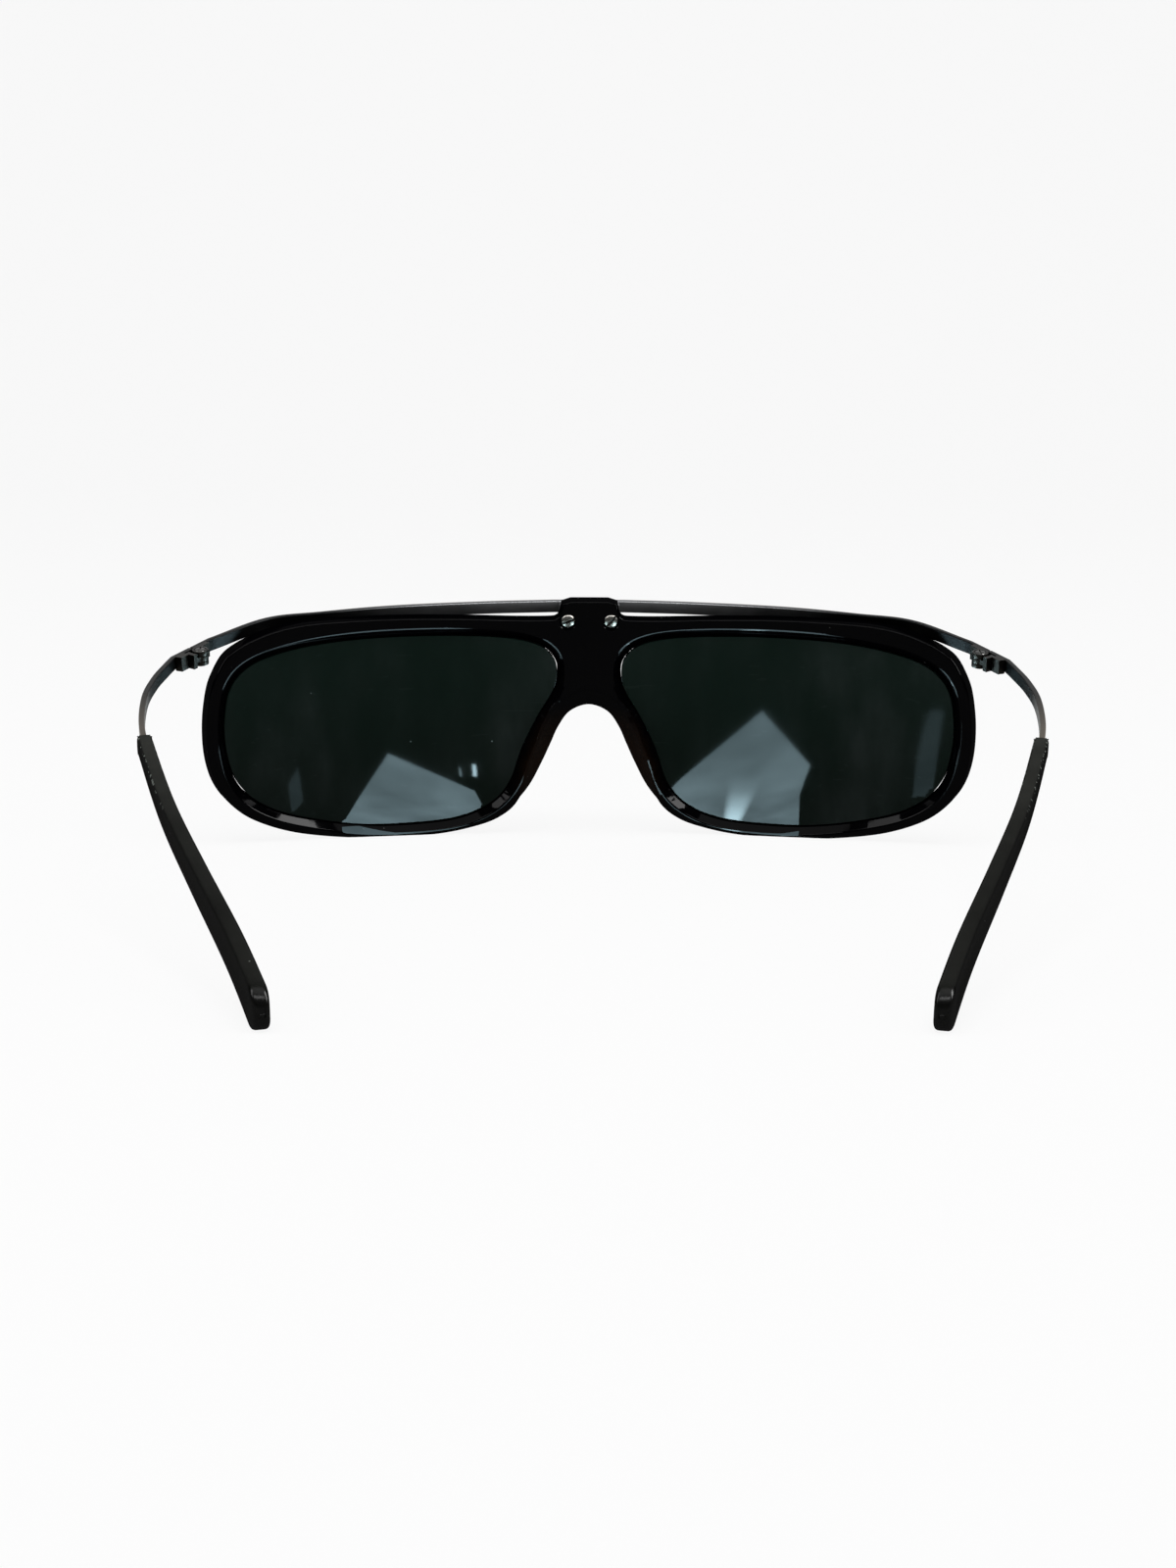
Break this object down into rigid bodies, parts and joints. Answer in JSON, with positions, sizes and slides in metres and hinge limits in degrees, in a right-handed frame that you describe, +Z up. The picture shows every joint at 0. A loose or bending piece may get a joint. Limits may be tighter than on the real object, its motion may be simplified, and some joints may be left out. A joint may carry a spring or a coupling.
{
  "type": "shield sunglasses",
  "caption": "Sunglasses: wrapped black acetate front with dark green lenses, hung from a slim metal brow bar by screws, with folding metal temples in acetate sleeves.",
  "frame": {"origin": "centre of the object's box, at the level of the surface that it stands on", "axes": "+X to the wearer's left, +Y from the lenses back along the temples, +Z up"},
  "size_m": [0.156, 0.1518, 0.045],
  "materials": {
    "black_acetate": "polished black with a brown tinge in thin edges",
    "green_grey_lens": "dark green-grey, polished",
    "gunmetal": "satin grey plating",
    "steel": "bright turned steel"
  },
  "bodies": {
    "front": {"front_frame": "black_acetate", "lens_left": "green_grey_lens", "lens_right": "green_grey_lens", "brow_bar": "gunmetal", "bridge_plate": "gunmetal", "bridge_screw_left": "steel", "bridge_screw_right": "steel", "hinge_front_left": "gunmetal", "hinge_front_right": "gunmetal", "hinge_screw_left": "steel", "hinge_screw_right": "steel"},
    "temple_left": {"hinge_temple_left": "gunmetal", "temple_bar_left": "gunmetal", "temple_tip_left": "black_acetate"},
    "temple_right": {"hinge_temple_right": "gunmetal", "temple_bar_right": "gunmetal", "temple_tip_right": "black_acetate"}
  },
  "joints": [
    {"name": "fold_left", "type": "hinge", "parent": "front", "child": "temple_left", "pos_m": [0.07002, -0.04927, 0.03664], "axis": [0, 0.2641, 0.9645], "range_deg": [0, 82]},
    {"name": "fold_right", "type": "hinge", "parent": "front", "child": "temple_right", "pos_m": [-0.07002, -0.04927, 0.03664], "axis": [0, -0.2641, -0.9645], "range_deg": [0, 73]}
  ]
}
